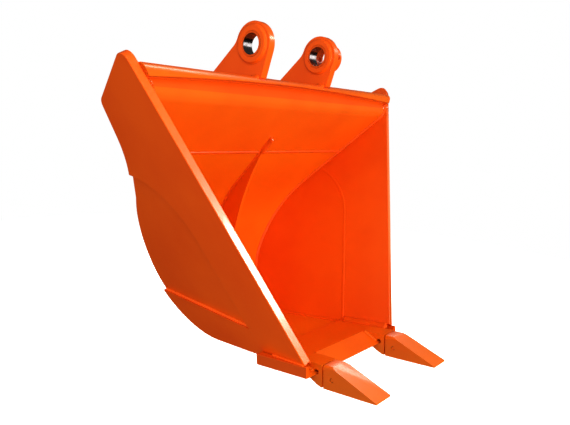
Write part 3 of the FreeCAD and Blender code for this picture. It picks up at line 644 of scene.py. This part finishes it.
EAR_FACES = (159.65, 185.65)
EAR_TOE_DROP, EAR_HEEL_DROP, TOE_MARGIN = 5.0, 20.0, 0.12
BOSS_RADIUS, BOSS_HEIGHT, COLLAR_RADIUS = 57.0, 7.9, 50.0
PIN_SPACING = 385.0
LINK_PIN = ARM_PIN + PIN_SPACING * toward(PIN_LINE_ANGLE)


def circle(centre, radius):
    """A ring of points round a pin line, and the directions away from it."""
    angle = np.linspace(0, 2 * np.pi, int(2 * np.pi * radius / STEP), endpoint=False)
    away = np.column_stack([np.zeros(len(angle)), np.cos(angle), np.sin(angle)])
    return radius * away + np.array([0.0, *centre]), away


def ear_welds():
    """Beads along both faces of each ear's foot, round its bosses and round the collars."""
    toe_angle = math.pi - math.asin((LIP_TOP - EAR_TOE_DROP - NOSE[1]) / NOSE_RADIUS)
    foot = np.concatenate([arc(NOSE, NOSE_RADIUS, toe_angle + TOE_MARGIN, crest_angle)[:-1],
                           line(CREST, BOX_EDGE)[:-1],
                           line(BOX_EDGE, BOX_EDGE - (0.0, EAR_HEEL_DROP))])
    beads = []
    for hand in (-1, 1):
        for face, way in zip(EAR_FACES, (-1, 1)):
            outward = (hand * way, 0, 0)
            beads.append(fillet(at_width(hand * face, foot), side_normals(foot), outward, leg=8))
            for pin in (ARM_PIN, LINK_PIN):
                ring, away = circle(pin, BOSS_RADIUS)
                ring[:, 0] = hand * face
                beads.append(fillet(ring, away, outward, 5, closed=True))
    for pin in (ARM_PIN, LINK_PIN):
        ring, away = circle(pin, COLLAR_RADIUS)
        ring[:, 0] = EAR_FACES[1] + BOSS_HEIGHT
        beads.append(fillet(ring, away, (1, 0, 0), 5, closed=True))
    return beads


welds("weld_lip", lip_welds(), plate_enamel)
welds("weld_lip_tacks", tack_welds(), plate_enamel)
welds("weld_torsion_box", box_welds(), plate_enamel)
welds("weld_ears", ear_welds(), plate_enamel)

# %% [markdown]
# ## Welds outside
# The cheek is thicker than the side wall, and both are flush inside. Their joint is welded
# there, with a bead ground nearly flat, and outside it stays a sharp step. The heel plate
# has a heavy fillet along its upper edge, and the shell's edges are closed with flat beads.
# The cheek's rear edge is a line in the cheek's own plane.

# %%
STRIP_WIDTH, TAIL_START, WALL_OUT = 184.0, 458.0, -13.0
HEEL_PLATE_FRONT = np.array([BLADE_DEPTH, 107.0])
HEEL_PLATE_RISE, HEEL_PLATE_PROUD = math.radians(7.54), 2.0
FOOT_BEAD_END = 150.0


def in_cheek(rear, up, out, hand):
    """Points given as distances to the rear and up in the cheek's own plane."""
    rear, up = np.atleast_1d(rear).astype(float), np.atleast_1d(up).astype(float)
    points = FOOT + rear[:, None] * REARWARD + up[:, None] * UP_EDGE + out * OUTWARD
    return mirrored(hand, points)


def box_bend_end():
    """Where the rear plate's bend runs out into its slope, above the shell."""
    slope = np.array([-math.cos(BOX_SLOPE), math.sin(BOX_SLOPE)])
    corner = box_foot + slope * (box_foot[0] - BOX_EDGE[0]) / math.cos(BOX_SLOPE)
    return corner - slope * BOX_BEND_RADIUS * math.tan((math.pi / 2 - BOX_SLOPE) / 2)


def cheek_coordinates(point):
    """A side view point as distances to the rear and up on the cheek's outer face."""
    depth, height = point[0] - FOOT[1], point[1] - FOOT[2]
    return (np.array([depth * UP_EDGE[2] - height * UP_EDGE[1],
                      height * REARWARD[1] - depth * REARWARD[2]]) / OUTWARD[0])


def cheek_edge():
    """The cheek's rear edge in its own plane: a straight strip and the arc of its tail."""
    tip_rear, tip_up = cheek_coordinates(box_bend_end())
    across_tail, rise = tip_rear - STRIP_WIDTH, tip_up - TAIL_START
    radius = (across_tail ** 2 + rise ** 2) / (2 * across_tail)
    straight = line((STRIP_WIDTH, 12.0), (STRIP_WIDTH, TAIL_START))[:-1]
    end = math.pi - math.asin(rise / radius)
    tail = arc((STRIP_WIDTH + radius, TAIL_START), radius, math.pi, end)
    return np.concatenate([straight, tail])


def joint_welds():
    """The joint of cheek and side wall on the inner face."""
    edge = cheek_edge()
    return [cushion(in_cheek(edge[:, 0], edge[:, 1], -CHEEK, hand), mirrored(hand, -OUTWARD),
                    5, 0.16) for hand in (-1, 1)]


def outside_welds():
    """The heel plate's upper edge, which rises to a circle just outside the shell, then the
    shell's edge and the cheek's foot on the blade."""
    radius, rise = HEEL_RADIUS + PLATE + HEEL_PLATE_PROUD, HEEL_PLATE_RISE
    drop = HEEL[1] - HEEL_PLATE_FRONT[1] - (HEEL[0] - BLADE_DEPTH) * math.tan(rise)
    around = rise - math.asin(drop * math.cos(rise) / radius)
    rear_end = HEEL + radius * toward(around)
    front_end = HEEL_PLATE_FRONT + INSET * np.array([1.0, math.tan(rise)])
    plate_edge = line(front_end, rear_end)
    upward = np.cross(OUTWARD, unit([0, *(rear_end - HEEL_PLATE_FRONT)]))
    upward = upward * np.sign(upward[2])
    hull = shell_line(PLATE)
    beads = []
    for hand in (-1, 1):
        out = mirrored(hand, OUTWARD)
        beads.append(fillet(at_cheek(plate_edge, hand, WALL_OUT), out,
                            mirrored(hand, upward), 9))
        beads.append(cushion(at_cheek(hull, hand), side_normals(hull, -1.0), 5, 0.26))
        foot = line((FOOT[1] + INSET, BLADE_TOP), (FOOT_BEAD_END, BLADE_TOP))
        beads.append(fillet(at_cheek(foot, hand, 0.0), UP, out, 5))
    return beads


welds("weld_cheek_joints", joint_welds(), plate_enamel)
welds("weld_outside", outside_welds(), plate_enamel)

# %% [markdown]
# ## Welds of the teeth's adapters
# Each adapter straddles the cutting edge and is welded down both sides of its upper leg on
# the bevel, and round its lower leg underneath.

# %%
TOOTH_MIDDLE, TOOTH_WIDTH, ADAPTER_REAR, BEVEL_DEPTH, BLADE_NOSE = 179.9, 72.0, 80.0, 60.0, 3.0


def adapter_welds():
    """Beads down both sides of each adapter on the bevel and underneath, and one behind."""
    bevel = line((10.0, BLADE_NOSE + (BLADE_TOP - BLADE_NOSE) * 10.0 / BEVEL_DEPTH),
                 (BEVEL_DEPTH - 1, BLADE_TOP))
    bevel_normal = unit((0, -(BLADE_TOP - BLADE_NOSE), BEVEL_DEPTH))
    under = line((12.0, 0.0), (ADAPTER_REAR, 0.0))
    beads = []
    for hand in (-1, 1):
        for way in (-1, 1):
            x = hand * TOOTH_MIDDLE + way * TOOTH_WIDTH / 2
            for side, normal in ((bevel, bevel_normal), (under, DOWN)):
                beads.append(fillet(at_width(x, side), normal, (way, 0, 0), leg=6))
        ends = [hand * TOOTH_MIDDLE + way * TOOTH_WIDTH / 2 for way in (-1, 1)]
        beads.append(fillet(line((ends[0], ADAPTER_REAR, 0.0), (ends[1], ADAPTER_REAR, 0.0)),
                            DOWN, REAR, leg=6))
    return beads


welds("weld_adapters", adapter_welds(), tooth_enamel)

# %% [markdown]
# ## Camera
# The photograph was taken from the front left at about waist height. Its angle, distance
# and lens were fitted to the bores, the cutting edge, the teeth and the mouth's edges in
# the level drawing, so the camera goes through the same tip as everything else, which is
# why it ends up rolled by a few degrees.

# %%
CAMERA_PLACE = (-1580.9, -1009.5, 664.2)
FOCAL_PIXELS, PICTURE_PIXELS, SENSOR = 591.7, 570, 36.0


def photo_camera():
    """The fitted camera: turn, fall and roll give its axes in the level drawing."""
    turn, fall, roll = (math.radians(angle) for angle in (50.506, 6.058, -0.364))
    ahead = np.array([math.sin(turn) * math.cos(fall), math.cos(turn) * math.cos(fall),
                      -math.sin(fall)])
    level = np.array([math.cos(turn), -math.sin(turn), 0.0])
    up = np.cross(level, ahead)
    right = math.cos(roll) * level + math.sin(roll) * up
    up = math.cos(roll) * up - math.sin(roll) * level
    data = bpy.data.cameras.new("photo_camera")
    data.sensor_width, data.lens = SENSOR, SENSOR * FOCAL_PIXELS / PICTURE_PIXELS
    camera = bpy.data.objects.new("photo_camera", data)
    scene.collection.objects.link(camera)
    pose = np.eye(4)
    pose[:3, :3] = turned(np.array([right, up, -ahead])).T
    pose[:3, 3] = standing([CAMERA_PLACE])[0]
    camera.matrix_world = pose.T.tolist()
    scene.camera = camera


photo_camera()

# %% [markdown]
# ## Light and floor
# The bucket was lit by large soft sources in front, while the side that faces the viewer
# stayed in half shade, and its surroundings were white but gave few reflections. So the sky
# is plain white for the camera and an even grey fade for diffuse light, and it is left out of
# the gloss altogether. What shows in the gloss is a dim dome above the horizon and a few
# windows: lamps that light nothing, show only as a reflection, and only on the pieces that
# they are linked to. The floor gets a lamp of its own, so that it stays white.

# %%
def grey(level):
    """An even grey as a linear colour."""
    return (level, level, level, 1.0)


def sky(below, above):
    """A world that fades between two greys for diffuse light, white to the camera, absent
    from the gloss. The share of the upper grey rises evenly with the view's height."""
    world = bpy.data.worlds.new("studio")
    world.use_nodes = True
    tree = world.node_tree
    tree.nodes.clear()
    place = node(tree, "TexCoord").outputs["Generated"]
    height = node(tree, "SeparateXYZ", {"Vector": place}).outputs["Z"]
    share = node(tree, "MapRange", {"Value": height}, From_Min=-0.5, From_Max=0.6)
    fade = node(tree, "MixRGB", {"Fac": share.outputs["Result"]},
                Color1=grey(below), Color2=grey(above))
    tone = node(tree, "MixRGB", {"Fac": node(tree, "LightPath").outputs["Is Camera Ray"],
                                 "Color1": fade.outputs["Color"]}, Color2=grey(1.0))
    shade = node(tree, "Background", {"Color": tone.outputs["Color"]})
    node(tree, "OutputWorld", {"Surface": shade.outputs["Background"]})
    world.cycles_visibility.glossy = False
    scene.world = world


def reflected_dome(level, radius=8.0):
    """A half sphere that only reflections see: rings of points by rise and turn."""
    paint, tree = material("dim_studio_ceiling")
    glow = node(tree, "Emission", Color=grey(level))
    node(tree, "OutputMaterial", {"Surface": glow.outputs["Emission"]})
    paint.cycles.emission_sampling = "NONE"
    rise, turn = np.meshgrid(np.linspace(0.0, math.pi / 2 - 0.02, 12),
                             np.linspace(0, 2 * math.pi, 48, endpoint=False), indexing="ij")
    points = radius * np.stack([np.cos(rise) * np.cos(turn), np.cos(rise) * np.sin(turn),
                                np.sin(rise)], axis=-1).reshape(-1, 3)
    row, column = np.meshgrid(np.arange(11), np.arange(48), indexing="ij")
    after = (column + 1) % 48
    quads = np.stack([row * 48 + column, row * 48 + after, (row + 1) * 48 + after,
                      (row + 1) * 48 + column], axis=-1).reshape(-1, 4)
    mesh = bpy.data.meshes.new("reflected_dome")
    mesh.from_pydata(points.tolist(), [], quads.tolist())
    mesh.materials.append(paint)
    made = bpy.data.objects.new("reflected_dome", mesh)
    scene.collection.objects.link(made)
    made.visible_camera = made.visible_diffuse = made.visible_shadow = False


def softbox(name, turn, rise, watts, side=1.6, glossy=False, distance=3.6):
    """A square light that faces the bucket. Turn is its direction in degrees from the
    front towards the right, and rise its height above the horizon."""
    data = bpy.data.lights.new(name, "AREA")
    data.size, data.energy = side, watts
    lamp = bpy.data.objects.new(name, data)
    scene.collection.objects.link(lamp)
    turn, rise = math.radians(turn), math.radians(rise)
    away = np.array([math.sin(turn) * math.cos(rise), -math.cos(turn) * math.cos(rise),
                     math.sin(rise)])
    right = unit(np.cross(-away, [0.0, 0.0, 1.0]))
    pose = np.eye(4)
    pose[:3, :3] = np.array([right, np.cross(right, -away), away]).T
    pose[:3, 3] = distance * away + [0.0, 0.0, 0.5]
    lamp.matrix_world = pose.T.tolist()
    lamp.visible_glossy = glossy
    return lamp


def only(lamp, names):
    """Makes a light reach just these pieces, and pass all others without a shadow."""
    group = bpy.data.collections.new(lamp.name + "_reach")
    for name in names:
        group.objects.link(bpy.data.objects[name])
    lamp.light_linking.receiver_collection = group
    lamp.light_linking.blocker_collection = group


def window(name, turn, rise, watts, side, names, distance=3.6):
    """A light that shows only as a reflection on these pieces."""
    lamp = softbox(name, turn, rise, watts, side, glossy=True, distance=distance)
    lamp.visible_diffuse = False
    only(lamp, names)
    return lamp


sky(0.55, 0.45)
reflected_dome(0.12)
softbox("front", 0, 8, 88)
softbox("left_of_front", -40, 8, 14)
softbox("above_camera", -50, 42, 34)
softbox("left_high", -95, 42, 14)
left_cheek, right_cheek = "cheek_plate_left_rounded", "cheek_plate_right_rounded"
ears = ["%s_rounded" % name for name in ("ear_left", "ear_right", "arm_boss_left",
                                         "arm_boss_right", "arm_collar_right")]
only(softbox("graze", -38, -10, 52, side=0.9),
     ears + [left_cheek, "side_wall_left_rounded", "heel_plate_left_rounded", "weld_outside",
             "weld_ears"])
window("window", 17, 10, 170, 0.9, [left_cheek, right_cheek])
window("bead_window", 17, 11, 420, 1.1, ["weld_lip_tacks", "weld_plate_seams", "weld_centre_rib"])
window("high_window", 80, 66, 36, 1.0,
       [left_cheek, right_cheek, "lip_bar_rounded", "weld_lip_tacks"], distance=3.2)
window("side_window", 109, 36, 45, 1.2, ["tooth_point_left_rounded", "tooth_point_right_rounded"])
window("ear_window", 58, 34, 26, 0.5, ears)
window("bush_window", 52, 13, 22, 1.6, ["arm_bush_left_rounded", "arm_bush_right_rounded"])
window("edge_window", 84, 4, 7, 1.2, [right_cheek]).data.color = (1.0, 0.7, 0.35)
only(softbox("strip", -95, 42, 40), ["weld_outside"])


def floor():
    """A pale disc that turns into plain white away from the bucket."""
    paint, tree = material("pale_floor")
    place = node(tree, "TexCoord").outputs["Object"]
    away = node(tree, "VectorMath", {"Vector": place}, operation="LENGTH").outputs["Value"]
    fade = node(tree, "MapRange", {"Value": away}, From_Min=1.2, From_Max=2.4)
    shader = node(tree, "BsdfDiffuse", Color=linear("#F4F4F4"))
    glow = node(tree, "Emission", Color=grey(1.0))
    mix = node(tree, "MixShader", {"Fac": fade.outputs["Result"]})
    tree.links.new(shader.outputs["BSDF"], mix.inputs[1])
    tree.links.new(glow.outputs["Emission"], mix.inputs[2])
    node(tree, "OutputMaterial", {"Surface": mix.outputs["Shader"]})
    angle = np.linspace(0, 2 * np.pi, 96, endpoint=False)
    rim = 12.0 * np.column_stack([np.cos(angle), np.sin(angle), 0 * angle])
    mesh = bpy.data.meshes.new("floor")
    mesh.from_pydata(rim.tolist(), [], [list(range(96))])
    mesh.materials.append(paint)
    made = bpy.data.objects.new("floor", mesh)
    scene.collection.objects.link(made)
    made.visible_diffuse = made.visible_glossy = made.visible_shadow = False


floor()
only(softbox("floor_lamp", 0, 89.9, 420, side=4.0, distance=4.0), ["floor"])
scene.view_settings.view_transform = "Standard"
scene.view_settings.gamma = 0.75
